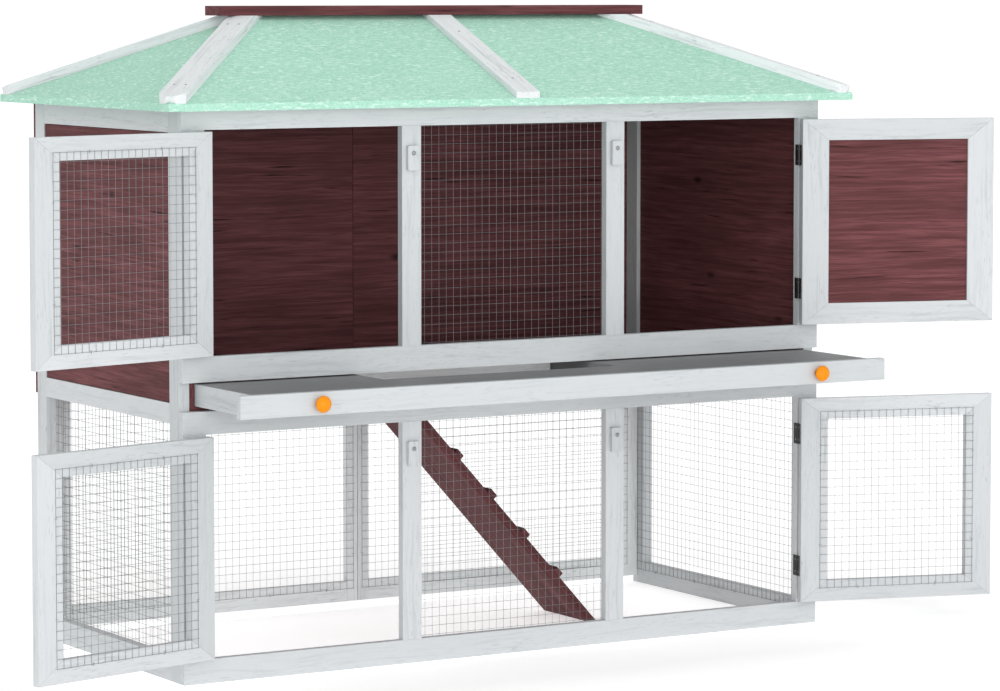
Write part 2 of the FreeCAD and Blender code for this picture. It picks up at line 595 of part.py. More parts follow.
def cap_board(low, high, blunt):
    """A board laid along a roof edge from its low to its high end, seated on the slopes beside it.

    Its low end is sawn off square this far above the eave. With a negative value it runs past the eave
    and is only trimmed to the roof's outline.
    """
    along = (high - low).normalize()
    sideways = along.cross(UP).normalize()
    outward = sideways.cross(along)
    start = low + along * blunt - outward * CAP_SEAT
    reach = along * ((high - low).Length - blunt)
    half = sideways * (CAP_WIDTH / 2)
    board = prism([start - half, start + half, start + reach + half, start + reach - half],
                  outward * (CAP_SEAT + CAP_THICK))
    board = board.common(front_half)
    return board.cut(roof_envelope).Solids[0]


def to_back(shape):
    """The same cap on the back slope."""
    return shape.mirror(Vector(0, Y_MIDDLE, 0), DEEP)


hip_cap = cap_board(front_corner, ridge_end, CAP_BLUNT)
save("roof_hip_caps", *both_sides(hip_cap), *both_sides(to_back(hip_cap)))
middle_cap = cap_board(front_middle, ridge_middle, -CAP_WIDTH)
save("roof_middle_caps", middle_cap, to_back(middle_cap))
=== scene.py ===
import json
import math
import random

import bmesh
import bpy
from mathutils import Matrix, Vector

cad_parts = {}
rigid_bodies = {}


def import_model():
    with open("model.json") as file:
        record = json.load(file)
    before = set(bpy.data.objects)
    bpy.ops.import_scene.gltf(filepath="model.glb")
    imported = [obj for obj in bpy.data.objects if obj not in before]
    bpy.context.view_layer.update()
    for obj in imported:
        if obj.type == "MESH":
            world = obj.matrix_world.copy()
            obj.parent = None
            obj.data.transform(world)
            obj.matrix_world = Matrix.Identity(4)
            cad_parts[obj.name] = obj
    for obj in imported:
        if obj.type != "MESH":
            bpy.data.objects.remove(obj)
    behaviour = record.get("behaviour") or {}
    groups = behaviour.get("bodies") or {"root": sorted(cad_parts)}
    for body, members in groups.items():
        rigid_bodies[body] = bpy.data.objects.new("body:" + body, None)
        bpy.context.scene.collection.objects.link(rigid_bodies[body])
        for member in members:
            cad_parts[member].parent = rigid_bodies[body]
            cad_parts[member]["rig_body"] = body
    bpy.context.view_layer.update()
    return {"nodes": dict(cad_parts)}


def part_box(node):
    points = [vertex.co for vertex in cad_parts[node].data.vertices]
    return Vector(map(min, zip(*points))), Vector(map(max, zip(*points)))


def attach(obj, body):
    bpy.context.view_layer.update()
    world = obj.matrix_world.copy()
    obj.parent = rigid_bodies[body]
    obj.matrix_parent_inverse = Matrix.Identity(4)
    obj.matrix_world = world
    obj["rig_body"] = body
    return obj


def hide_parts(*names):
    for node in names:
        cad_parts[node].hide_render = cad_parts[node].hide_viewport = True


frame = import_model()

# Front, side and back frames: sawn spruce boards with eased arrises, butted and nailed together.
# They are whitewashed: thin pale paint that lets grey growth rings and fibres show through. The back frames
# and the roof caps have a whiter copy of this paint, which is painted light for the light on the back of the
# run and on the caps' tops. The kerb board in the tray's notch has a whiter copy still: painted light that
# lifts it out of its shade.
MM = 0.001
ARRIS = 0.6 * MM
SHARP_EDGE = math.radians(25)
FLAT_ENOUGH = math.radians(1)
SAME_POINT = 0.01 * MM
LONGEST_EDGES = 60
SQUARE_ENOUGH = 0.5
GRAIN_SHIFT = 4000


def linear(colour):
    """An sRGB hex colour as linear RGBA."""
    parts = [int(colour[i:i + 2], 16) / 255 for i in (1, 3, 5)]
    return [c / 12.92 if c <= 0.04045 else ((c + 0.055) / 1.055) ** 2.4 for c in parts] + [1.0]


def add(tree, kind, feeds=None, **settings):
    """A node with its settings; feeds gives an input a value or the output that drives it."""
    made = tree.nodes.new(kind)
    for name, value in settings.items():
        setattr(made, name, value)
    for name, value in (feeds or {}).items():
        if isinstance(value, bpy.types.NodeSocket):
            tree.links.new(value, made.inputs[name])
        else:
            made.inputs[name].default_value = value
    return made


def islands(shape):
    """The connected pieces of a bmesh, each a list of its vertices."""
    left = set(shape.verts)
    found = []
    for start in shape.verts:
        if start not in left:
            continue
        left.discard(start)
        piece, reach = [], [start]
        while reach:
            vertex = reach.pop()
            piece.append(vertex)
            for edge in vertex.link_edges:
                other = edge.other_vert(vertex)
                if other in left:
                    left.discard(other)
                    reach.append(other)
        found.append(piece)
    return found


def board_axes(piece, along=None):
    """Directions of a board: along its grain, across its face and out of its face."""
    found = dict.fromkeys(e for v in piece for e in v.link_edges)
    edges = sorted(found, key=lambda e: -e.calc_length())
    ways = [(e.verts[1].co - e.verts[0].co).normalized() for e in edges[:LONGEST_EDGES]]
    grain = Vector(along) if along else ways[0]
    across = next((w for w in ways if abs(w.dot(grain)) < SQUARE_ENOUGH), grain.orthogonal())
    across = (across - grain * across.dot(grain)).normalized()
    return grain, across, grain.cross(across)


def cad_shape(name):
    """A CAD node's solids as a bmesh with its triangles joined into whole faces."""
    shape = bmesh.new()
    shape.from_mesh(frame["nodes"][name].data)
    bmesh.ops.remove_doubles(shape, verts=shape.verts, dist=SAME_POINT)
    bmesh.ops.dissolve_limit(shape, angle_limit=FLAT_ENOUGH, verts=shape.verts, edges=shape.edges)
    return shape


def piece_from(shape, name, finish):
    """A bmesh as an object at the origin with one material."""
    mesh = bpy.data.meshes.new(name)
    shape.to_mesh(mesh)
    shape.free()
    mesh.materials.append(finish)
    made = bpy.data.objects.new(name, mesh)
    bpy.context.scene.collection.objects.link(made)
    return made


def dress(name, finish, along=None):
    """Boards in place of a CAD node, with eased arrises and grain coordinates in mm on every board.

    Returns each board's centre, directions and half sizes.
    """
    shape = cad_shape(name)
    arrises = [e for e in shape.edges if len(e.link_faces) == 2 and e.calc_face_angle() > SHARP_EDGE]
    bmesh.ops.bevel(shape, geom=arrises, offset=ARRIS, segments=2, profile=0.5, affect="EDGES",
                    clamp_overlap=True)
    grain_layer = shape.verts.layers.float_vector.new("grain")
    tone_layer = shape.verts.layers.float.new("board")
    chance = random.Random(name)
    boards = []
    for piece in islands(shape):
        axes = board_axes(piece, along)
        spans = [(min(v.co.dot(a) for v in piece), max(v.co.dot(a) for v in piece)) for a in axes]
        centre = sum((a * (low + high) / 2 for a, (low, high) in zip(axes, spans)), Vector())
        shift = Vector([chance.uniform(-GRAIN_SHIFT, GRAIN_SHIFT) for _ in range(3)])
        tone = chance.random()
        for vertex in piece:
            away = vertex.co - centre
            vertex[grain_layer] = Vector([away.dot(a) / MM for a in axes]) + shift
            vertex[tone_layer] = tone
        boards.append((centre, axes, [(high - low) / 2 for low, high in spans]))
    made = piece_from(shape, name + "_boards", finish)
    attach(made, frame["nodes"][name]["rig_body"])
    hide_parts(name)
    return boards


def new_material(name):
    """A material with its node tree and its shader."""
    material = bpy.data.materials.new(name)
    material.use_nodes = True
    return material, material.node_tree, material.node_tree.nodes["Principled BSDF"]


def whitewashed_spruce(name, pale, greyer):
    """Matte thin white paint on sawn spruce: pale cool grey with wavy rings and small bare flakes."""
    material, tree, shader = new_material(name)
    grain = add(tree, "ShaderNodeAttribute", attribute_name="grain").outputs["Vector"]
    tone = add(tree, "ShaderNodeAttribute", attribute_name="board").outputs["Fac"]
    # the grain wanders 12 mm sideways over 180 mm
    bends_at = add(tree, "ShaderNodeMapping", {"Vector": grain, "Scale": (1 / 180, 1 / 70, 1 / 70)})
    bends = add(tree, "ShaderNodeTexNoise", {"Vector": bends_at.outputs[0], "Scale": 1.0, "Detail": 1.0})
    waved = add(tree, "ShaderNodeVectorMath", {0: bends.outputs["Color"], 1: (0, 24, 24), 2: grain},
                operation="MULTIPLY_ADD").outputs[0]
    # growth rings 7 mm apart and 240 mm long, bare flakes 3 by 22 mm, worn patches 45 by 150 mm
    rings_at = add(tree, "ShaderNodeMapping", {"Vector": waved, "Scale": (1 / 240, 1 / 7, 1 / 7)})
    rings = add(tree, "ShaderNodeTexNoise", {"Vector": rings_at.outputs[0], "Scale": 1.0, "Detail": 3.0,
                                             "Roughness": 0.55})
    flakes_at = add(tree, "ShaderNodeMapping", {"Vector": waved, "Scale": (1 / 22, 1 / 3, 1 / 3)})
    flakes = add(tree, "ShaderNodeTexNoise", {"Vector": flakes_at.outputs[0], "Scale": 1.0, "Detail": 3.0,
                                              "Roughness": 0.6})
    worn_at = add(tree, "ShaderNodeMapping", {"Vector": waved, "Scale": (1 / 150, 1 / 45, 1 / 45)})
    worn = add(tree, "ShaderNodeTexNoise", {"Vector": worn_at.outputs[0], "Scale": 1.0, "Detail": 4.0,
                                            "Roughness": 0.6})
    ring_lines = add(tree, "ShaderNodeMapRange", {"Value": rings.outputs["Fac"], "From Min": 0.5,
                                                  "From Max": 0.76, "To Max": 0.7})
    flake_spots = add(tree, "ShaderNodeMapRange", {"Value": flakes.outputs["Fac"], "From Min": 0.55,
                                                   "From Max": 0.74, "To Max": 0.8})
    worn_share = add(tree, "ShaderNodeMapRange", {"Value": worn.outputs["Fac"], "From Min": 0.38,
                                                  "From Max": 0.66, "To Min": 0.15})
    marks = add(tree, "ShaderNodeMath", {0: ring_lines.outputs[0], 1: flake_spots.outputs[0]},
                operation="MAXIMUM")
    lines = add(tree, "ShaderNodeMath", {0: marks.outputs[0], 1: worn_share.outputs[0]}, operation="MULTIPLY",
                use_clamp=True)
    paint = add(tree, "ShaderNodeMix", {"Factor": tone, 6: linear(pale), 7: linear(greyer)},
                data_type="RGBA")
    colour = add(tree, "ShaderNodeMix", {"Factor": lines.outputs[0], 6: paint.outputs[2],
                                         7: linear("#949a9d")}, data_type="RGBA")
    tree.links.new(colour.outputs[2], shader.inputs["Base Color"])
    dull = add(tree, "ShaderNodeMapRange", {"Value": lines.outputs[0], "To Min": 0.58, "To Max": 0.78})
    tree.links.new(dull.outputs[0], shader.inputs["Roughness"])
    shader.inputs["Specular IOR Level"].default_value = 0.3
    bump = add(tree, "ShaderNodeBump", {"Height": lines.outputs[0], "Strength": 0.25, "Distance": 0.4 * MM},
               invert=True)
    tree.links.new(bump.outputs[0], shader.inputs["Normal"])
    return material


white_wood = whitewashed_spruce("whitewashed_spruce", "#c5c8ca", "#babec0")
for name in ("front_rails", "front_end_stiles", "front_middle_posts", "side_posts", "side_rails",
             "corner_battens"):
    dress(name, white_wood)
# Painted light: a whiter copy of the whitewash for the back frames and the roof caps, standing in for light
# that reaches them.
painted_light_white_wood = whitewashed_spruce("painted_light_whitewashed_spruce", "#d8dcdd", "#cfd3d4")
for name in ("back_rails", "back_stiles"):
    dress(name, painted_light_white_wood)
# Painted light: a still whiter copy of the whitewash for the kerb board, lifting it out of the shade under
# the mid rail.
dress("kerb_front", whitewashed_spruce("kerb_painted_light_whitewashed_spruce", "#f0f2f3", "#e8ebec"))

# Boarding of the upper storey, its floor and its ledgers: spruce boards stained dark burgundy.
# The walls and the back run their grain level. The floor rests on ledgers, and two kerb boards stand on it.
LEVEL = {"back_panels": (1, 0, 0), "side_wall_left": (0, 1, 0), "side_wall_right": (0, 1, 0),
         "floor_panel": (1, 0, 0), "floor_ledgers": None, "kerb_sides": None}


def burgundy_stained_spruce():
    """Matte wood stain: wine red in lighter and darker streaks, near-black checks and dark knots."""
    material, tree, shader = new_material("burgundy_stained_spruce")
    grain = add(tree, "ShaderNodeAttribute", attribute_name="grain").outputs["Vector"]
    # the grain wanders 6 mm sideways over 260 mm
    bends_at = add(tree, "ShaderNodeMapping", {"Vector": grain, "Scale": (1 / 260, 1 / 90, 1 / 90)})
    bends = add(tree, "ShaderNodeTexNoise", {"Vector": bends_at.outputs[0], "Scale": 1.0, "Detail": 1.0})
    waved = add(tree, "ShaderNodeVectorMath", {0: bends.outputs["Color"], 1: (0, 12, 12), 2: grain},
                operation="MULTIPLY_ADD").outputs[0]
    # rings 8 mm apart and 240 mm long, fibres 2.5 mm wide, cloudy stain 60 by 260 mm
    rings_at = add(tree, "ShaderNodeMapping", {"Vector": waved, "Scale": (1 / 240, 1 / 8, 1 / 8)})
    rings = add(tree, "ShaderNodeTexNoise", {"Vector": rings_at.outputs[0], "Scale": 1.0, "Detail": 4.0,
                                             "Roughness": 0.6})
    fibres_at = add(tree, "ShaderNodeMapping", {"Vector": waved, "Scale": (1 / 70, 1 / 2.5, 1 / 2.5)})
    fibres = add(tree, "ShaderNodeTexNoise", {"Vector": fibres_at.outputs[0], "Scale": 1.0, "Detail": 3.0})
    cloud_at = add(tree, "ShaderNodeMapping", {"Vector": grain, "Scale": (1 / 260, 1 / 60, 1 / 60)})
    cloud = add(tree, "ShaderNodeTexNoise", {"Vector": cloud_at.outputs[0], "Scale": 1.0, "Detail": 2.0})
    # checks 3 mm wide and 130 mm long, and knots about 14 mm across in cells of 210 by 90 mm
    checks_at = add(tree, "ShaderNodeMapping", {"Vector": waved, "Scale": (1 / 130, 1 / 6, 1 / 6)})
    checks = add(tree, "ShaderNodeTexNoise", {"Vector": checks_at.outputs[0], "Scale": 1.0, "Detail": 2.0})
    knots_at = add(tree, "ShaderNodeMapping", {"Vector": waved, "Scale": (1 / 210, 1 / 90, 1 / 90)})
    knots = add(tree, "ShaderNodeTexVoronoi", {"Vector": knots_at.outputs[0], "Scale": 1.0})
    ring_tone = add(tree, "ShaderNodeMapRange", {"Value": rings.outputs["Fac"], "From Min": 0.36,
                                                 "From Max": 0.64})
    check_lines = add(tree, "ShaderNodeMapRange", {"Value": checks.outputs["Fac"], "From Min": 0.66,
                                                   "From Max": 0.75, "To Max": 0.85})
    knot_spots = add(tree, "ShaderNodeMapRange", {"Value": knots.outputs["Distance"], "From Min": 0.1,
                                                  "From Max": 0.03, "To Max": 0.9})
    dark = add(tree, "ShaderNodeMath", {0: check_lines.outputs[0], 1: knot_spots.outputs[0]},
               operation="MAXIMUM", use_clamp=True)
    stain = add(tree, "ShaderNodeMix", {"Factor": ring_tone.outputs[0], 6: linear("#76474a"),
                                        7: linear("#573133")}, data_type="RGBA")
    fibre_tone = add(tree, "ShaderNodeMapRange", {"Value": fibres.outputs["Fac"], "From Min": 0.4,
                                                  "From Max": 0.68, "To Max": 0.5})
    streaked = add(tree, "ShaderNodeMix", {"Factor": fibre_tone.outputs[0], 6: stain.outputs[2],
                                           7: linear("#432425")}, data_type="RGBA")
    cloud_tone = add(tree, "ShaderNodeMapRange", {"Value": cloud.outputs["Fac"], "From Min": 0.4,
                                                  "From Max": 0.65, "To Max": 0.45})
    clouded = add(tree, "ShaderNodeMix", {"Factor": cloud_tone.outputs[0], 6: streaked.outputs[2],
                                          7: linear("#4b2a2b")}, data_type="RGBA")
    colour = add(tree, "ShaderNodeMix", {"Factor": dark.outputs[0], 6: clouded.outputs[2],
                                         7: linear("#1d0c0d")}, data_type="RGBA")
    tree.links.new(colour.outputs[2], shader.inputs["Base Color"])
    dull = add(tree, "ShaderNodeMapRange", {"Value": fibres.outputs["Fac"], "To Min": 0.55, "To Max": 0.75})
    tree.links.new(dull.outputs[0], shader.inputs["Roughness"])
    shader.inputs["Specular IOR Level"].default_value = 0.12
    relief = add(tree, "ShaderNodeMath", {0: fibre_tone.outputs[0], 1: dark.outputs[0]}, operation="ADD")
    bump = add(tree, "ShaderNodeBump", {"Height": relief.outputs[0], "Strength": 0.3, "Distance": 0.5 * MM},
               invert=True)
    tree.links.new(bump.outputs[0], shader.inputs["Normal"])
    return material


red_wood = burgundy_stained_spruce()
for name, along in LEVEL.items():
    dress(name, red_wood, along)

# Welded mesh: galvanised wires, uprights on the wood and cross wires welded on behind them.
# Every wire runs where its CAD solid runs, but is round and drawn a little finer. Steel staples over the
# outer wires hold each panel to the inner faces of its frame.
WIRE_RADIUS = 0.35 * MM
WIRE_SIDES = 6


def galvanised_wire():
    """Drawn wire with a dull zinc coat: mid grey metal with cloudy lighter and darker patches."""
    material, tree, shader = new_material("galvanised_wire")
    place = add(tree, "ShaderNodeTexCoord").outputs["Object"]
    # zinc patches about 8 mm long
    patches = add(tree, "ShaderNodeTexNoise", {"Vector": place, "Scale": 1 / (8 * MM), "Detail": 2.0})
    colour = add(tree, "ShaderNodeMix", {"Factor": patches.outputs["Fac"], 6: linear("#6c7072"),
                                         7: linear("#888c8e")}, data_type="RGBA")
    tree.links.new(colour.outputs[2], shader.inputs["Base Color"])
    dull = add(tree, "ShaderNodeMapRange", {"Value": patches.outputs["Fac"], "To Min": 0.4, "To Max": 0.6})
    tree.links.new(dull.outputs[0], shader.inputs["Roughness"])
    shader.inputs["Metallic"].default_value = 0.7
    return material


def tree_input(tree, name, kind):
    """A named input of a node tree."""
    return tree.interface.new_socket(name, in_out="INPUT", socket_type=kind).identifier


def round_wires():
    """A node tree that turns loose edges into round wires, with the names of its inputs."""
    tree = bpy.data.node_groups.new("round_wires", "GeometryNodeTree")
    tree.interface.new_socket("Lines", in_out="INPUT", socket_type="NodeSocketGeometry")
    keys = {"radius": tree_input(tree, "Wire radius", "NodeSocketFloat"),
            "sides": tree_input(tree, "Sides", "NodeSocketInt"),
            "finish": tree_input(tree, "Finish", "NodeSocketMaterial")}
    tree.interface.new_socket("Wires", in_out="OUTPUT", socket_type="NodeSocketGeometry")
    given = add(tree, "NodeGroupInput").outputs
    paths = add(tree, "GeometryNodeMeshToCurve", {"Mesh": given["Lines"]})
    ring = add(tree, "GeometryNodeCurvePrimitiveCircle", {"Resolution": given["Sides"],
                                                          "Radius": given["Wire radius"]})
    tubes = add(tree, "GeometryNodeCurveToMesh", {"Curve": paths.outputs[0], "Profile Curve": ring.outputs[0],
                                                  "Fill Caps": True})
    real = add(tree, "GeometryNodeRealizeInstances", {"Geometry": tubes.outputs[0]})
    done = add(tree, "GeometryNodeSetMaterial", {"Geometry": real.outputs[0], "Material": given["Finish"]})
    add(tree, "NodeGroupOutput", {"Wires": done.outputs[0]})
    return tree, keys


def grown(name, tree, settings, vertices, edges=(), attributes=None):
    """The plain mesh object that a node tree grows from points and lines."""
    seed = bpy.data.meshes.new(name + "_seed")
    seed.from_pydata(vertices, edges, [])
    for key, values in (attributes or {}).items():
        layer = seed.attributes.new(key, "FLOAT_VECTOR", "POINT")
        layer.data.foreach_set("vector", [c for value in values for c in value])
    holder = bpy.data.objects.new(name, seed)
    bpy.context.scene.collection.objects.link(holder)
    grow = holder.modifiers.new("grow", "NODES")
    grow.node_group = tree
    for key, value in settings.items():
        grow[key] = value
    ready = holder.evaluated_get(bpy.context.evaluated_depsgraph_get())
    mesh = bpy.data.meshes.new_from_object(ready)
    mesh.name = name
    holder.modifiers.remove(grow)
    holder.data = mesh
    bpy.data.meshes.remove(seed)
    return holder


def wire_lines(name):
    """The middle line of every wire of a CAD mesh, as pairs of end points."""
    shape = cad_shape(name)
    lines = []
    for piece in islands(shape):
        grain = board_axes(piece)[0]
        middle = sum((v.co for v in piece), Vector()) / len(piece)
        reach = max((v.co - middle).dot(grain) for v in piece)
        lines.append((middle - grain * reach, middle + grain * reach))
    shape.free()
    return lines


zinc_wire = galvanised_wire()
wire_tree, wire_keys = round_wires()
mesh_names = [n for n in sorted(frame["nodes"]) if "mesh" in n]
mesh_lines = {name: wire_lines(name) for name in mesh_names}
for name in mesh_names:
    ends = [end for line in mesh_lines[name] for end in line]
    pairs = [(i, i + 1) for i in range(0, len(ends), 2)]
    wires = grown(name + "_wires", wire_tree,
                  {wire_keys["radius"]: WIRE_RADIUS, wire_keys["sides"]: WIRE_SIDES,
                   wire_keys["finish"]: zinc_wire}, ends, pairs)
    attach(wires, frame["nodes"][name]["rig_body"])
    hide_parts(name)


def set_on_points(shape_name):
    """A node tree that sets one small part on every point, its +Z along the point's facing."""
    tree = bpy.data.node_groups.new(shape_name + "_on_points", "GeometryNodeTree")
    tree.interface.new_socket("Places", in_out="INPUT", socket_type="NodeSocketGeometry")
    keys = {"part": tree_input(tree, "Part", "NodeSocketObject"),
            "size": tree_input(tree, "Size", "NodeSocketFloat"),
            "finish": tree_input(tree, "Finish", "NodeSocketMaterial")}
    tree.interface.new_socket("Parts", in_out="OUTPUT", socket_type="NodeSocketGeometry")
    given = add(tree, "NodeGroupInput").outputs
    part = add(tree, "GeometryNodeObjectInfo", {"Object": given["Part"]})
    facing = add(tree, "GeometryNodeInputNamedAttribute", {"Name": "facing"}, data_type="FLOAT_VECTOR")
    spin = add(tree, "GeometryNodeInputNamedAttribute", {"Name": "side"}, data_type="FLOAT_VECTOR")
    upright = add(tree, "FunctionNodeAlignRotationToVector", {"Vector": facing.outputs["Attribute"]},
                  axis="Z")
    turn = add(tree, "FunctionNodeAlignRotationToVector",
               {"Rotation": upright.outputs[0], "Vector": spin.outputs["Attribute"]},
               axis="X", pivot_axis="Z")
    placed = add(tree, "GeometryNodeInstanceOnPoints",
                 {"Points": given["Places"], "Instance": part.outputs["Geometry"],
                  "Rotation": turn.outputs[0], "Scale": given["Size"]})
    real = add(tree, "GeometryNodeRealizeInstances", {"Geometry": placed.outputs[0]})
    done = add(tree, "GeometryNodeSetMaterial", {"Geometry": real.outputs[0], "Material": given["Finish"]})
    add(tree, "NodeGroupOutput", {"Parts": done.outputs[0]})
    return tree, keys


def scattered(name, pattern, finish, spots):
    """Copies of a pattern bmesh as one plain mesh; each spot gives a place, a facing and a side."""
    part = piece_from(pattern, name + "_pattern", finish)
    tree, keys = set_on_points(name)
    made = grown(name, tree, {keys["part"]: part, keys["size"]: 1.0, keys["finish"]: finish},
                 [spot[0] for spot in spots], (),
                 {"facing": [spot[1] for spot in spots], "side": [spot[2] for spot in spots]})
    bpy.data.objects.remove(part)
    return made


STAPLE_CROWN = 5.0 * MM
STAPLE_RISE = 0.7 * MM
STAPLE_LEG = 3.6 * MM
STAPLE_RADIUS = 0.22 * MM
STAPLE_PITCH = 140 * MM
# the four bends: the share of the crown sideways, and 0 on the crown or -1 at a leg's point
STAPLE_TURN = [(-0.5, -1), (-0.5, 0), (0.5, 0), (0.5, -1)]
UPRIGHT_ENOUGH = 0.7


def staple():
    """A bmesh of one staple, four-sided wire bent to a U, its crown along X over a wire at the origin."""
    shape = bmesh.new()
    rings = []
    for side, leg in STAPLE_TURN:
        corner = Vector((side * STAPLE_CROWN, 0, STAPLE_RISE + leg * (STAPLE_LEG + STAPLE_RISE)))
        inward = Vector((-math.copysign(STAPLE_RADIUS, side), 0, -STAPLE_RADIUS if leg == 0 else 0))
        wide = Vector((0, STAPLE_RADIUS, 0))
        rings.append([shape.verts.new(corner + reach * inward + across * wide)
                      for reach, across in ((-1, -1), (1, -1), (1, 1), (-1, 1))])
    for near, far in zip(rings, rings[1:]):
        for i in range(4):
            shape.faces.new((near[i], near[i - 1], far[i - 1], far[i]))
    shape.faces.new(rings[0])
    shape.faces.new(rings[-1][::-1])
    bmesh.ops.recalc_face_normals(shape, faces=shape.faces)
    return shape


for name in mesh_names:
    uprights = [line for line in mesh_lines[name]
                if abs((line[1] - line[0]).normalized().z) > UPRIGHT_ENOUGH]
    levels = [line for line in mesh_lines[name] if line not in uprights]
    middle = [sum((a + b for a, b in group), Vector()) / (2 * len(group)) for group in (uprights, levels)]
    along = (levels[0][1] - levels[0][0]).normalized()
    up = (uprights[0][1] - uprights[0][0]).normalized()
    off_wood = along.cross(up)
    if off_wood.dot(middle[1] - middle[0]) < 0:
        off_wood = -off_wood
    uprights.sort(key=lambda line: line[0].dot(along))
    levels.sort(key=lambda line: line[0].dot(up))
    staple_spots = []
    for line, side in ((uprights[0], along), (uprights[-1], along), (levels[0], up), (levels[-1], up)):
        count = round((line[1] - line[0]).length / STAPLE_PITCH)
        staple_spots += [(line[0].lerp(line[1], (i + 0.5) / count), off_wood, side) for i in range(count)]
    staples = scattered(name + "_staples", staple(), zinc_wire, staple_spots)
    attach(staples, frame["nodes"][name]["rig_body"])

# Ramp: one stained board with cleats nailed across it, hung from a bevelled block under the floor.
# The cleats give the animals a foothold. The grain runs down the board and along the cleats.
for name in ("ramp_board", "ramp_cleats", "ramp_hanger"):
    dress(name, red_wood)

# Tray: a whitewashed front board, boards of the same wood on edge behind it and a sheet laid on top of them.
# The sheet is steel with a matte grey coat, folded down round the notch. It takes the bedding.
LIP_THICK = 0.6 * MM
LIP_DEEP = 32 * MM
for name in ("tray_front", "tray_sides", "tray_cross_boards"):
    dress(name, white_wood)


def grey_coated_sheet():
    """Matte grey coating on flat sheet: even dark grey with faint wiping marks and small dull spots."""
    material, tree, shader = new_material("grey_coated_sheet")
    place = add(tree, "ShaderNodeTexCoord").outputs["Object"]
    # wiping marks 12 mm wide and 250 mm long, dull spots of 30 mm
    marks_at = add(tree, "ShaderNodeMapping",
                   {"Vector": place, "Scale": (1 / (250 * MM), 1 / (12 * MM), 1.0)})
    marks = add(tree, "ShaderNodeTexNoise", {"Vector": marks_at.outputs[0], "Scale": 1.0, "Detail": 3.0})
    spots = add(tree, "ShaderNodeTexNoise", {"Vector": place, "Scale": 1 / (30 * MM), "Detail": 4.0})
    colour = add(tree, "ShaderNodeMix", {"Factor": spots.outputs["Fac"], 6: linear("#707172"),
                                         7: linear("#7e7f80")}, data_type="RGBA")
    tree.links.new(colour.outputs[2], shader.inputs["Base Color"])
    dull = add(tree, "ShaderNodeMapRange", {"Value": marks.outputs["Fac"], "To Min": 0.42, "To Max": 0.62})
    tree.links.new(dull.outputs[0], shader.inputs["Roughness"])
    bump = add(tree, "ShaderNodeBump", {"Height": spots.outputs["Fac"], "Strength": 0.05,
                                        "Distance": 0.3 * MM})
    tree.links.new(bump.outputs[0], shader.inputs["Normal"])
    return material


coated_sheet = grey_coated_sheet()
sheet = frame["nodes"]["tray_sheet"]
sheet.data.materials.clear()
sheet.data.materials.append(coated_sheet)
sheet_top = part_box("tray_sheet")[1].z
widths = sorted({round(v.co.x, 5) for v in sheet.data.vertices})
depths = sorted({round(v.co.y, 5) for v in sheet.data.vertices})
lip = bmesh.new()
bends = []
for x, y, inward in ((widths[1], depths[2], (1, 0)), (widths[1], depths[1], (1, 1)),
                     (widths[2], depths[1], (-1, 1)), (widths[2], depths[2], (-1, 0))):
    bends.append([lip.verts.new((x + inward[0] * reach, y + inward[1] * reach, z))
                  for reach, z in ((0, sheet_top), (LIP_THICK, sheet_top), (LIP_THICK, sheet_top - LIP_DEEP),
                                   (0, sheet_top - LIP_DEEP))])
for near, far in zip(bends, bends[1:]):
    for i in range(4):
        lip.faces.new((near[i - 1], near[i], far[i], far[i - 1]))
lip.faces.new(bends[0])
lip.faces.new(bends[-1][::-1])
bmesh.ops.recalc_face_normals(lip, faces=lip.faces)
folded = piece_from(lip, "tray_sheet_lip", coated_sheet)
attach(folded, "tray")

# Knobs: two moulded orange plastic knobs on the tray's front board, each with a neck and a rounded head.
# They are screwed on from behind, and their skin is smooth all round.
KNOB_RADIUS = 15.0 * MM
KNOB_PROFILE = [(0.0, 0.0), (8.0, 0.0), (8.0, 5.4), (8.6, 6.4), (11.6, 9.6), (14.3, 12.6), (14.95, 14.0),
                (14.9, 15.3), (14.0, 17.4), (11.6, 20.4), (8.4, 22.9), (4.4, 24.5), (0.0, 25.0)]
KNOB_STEPS = 48


def moulded_orange_plastic():
    """Glossy ABS: warm orange, an even moulded skin with very slight ripple."""
    material, tree, shader = new_material("moulded_orange_plastic")
    place = add(tree, "ShaderNodeTexCoord").outputs["Object"]
    # ripple of the moulded skin, 3 mm
    ripple = add(tree, "ShaderNodeTexNoise", {"Vector": place, "Scale": 1 / (3 * MM), "Detail": 2.0})
    colour = add(tree, "ShaderNodeMix", {"Factor": ripple.outputs["Fac"], 6: linear("#de8302"),
                                         7: linear("#e58b06")}, data_type="RGBA")
    tree.links.new(colour.outputs[2], shader.inputs["Base Color"])
    bump = add(tree, "ShaderNodeBump", {"Height": ripple.outputs["Fac"], "Strength": 0.06,
                                        "Distance": 0.2 * MM})
    tree.links.new(bump.outputs[0], shader.inputs["Normal"])
    shader.inputs["Roughness"].default_value = 0.34
    shader.inputs["Specular IOR Level"].default_value = 0.18
    return material


def turned(profile, steps, smooth=True):
    """A bmesh turned about +Z from a profile of radius and height in mm, with both its ends on the axis."""
    shape = bmesh.new()
    rings = []
    for r, z in profile:
        angles = [2 * math.pi * i / steps for i in range(steps if r else 1)]
        rings.append([shape.verts.new((r * MM * math.cos(a), r * MM * math.sin(a), z * MM)) for a in angles])
    for near, far in zip(rings, rings[1:]):
        for i in range(steps):
            corners = (near[i % len(near)], near[(i + 1) % len(near)],
                       far[(i + 1) % len(far)], far[i % len(far)])
            face = shape.faces.new(list(dict.fromkeys(corners)))
            face.smooth = smooth
    bmesh.ops.recalc_face_normals(shape, faces=shape.faces)
    return shape


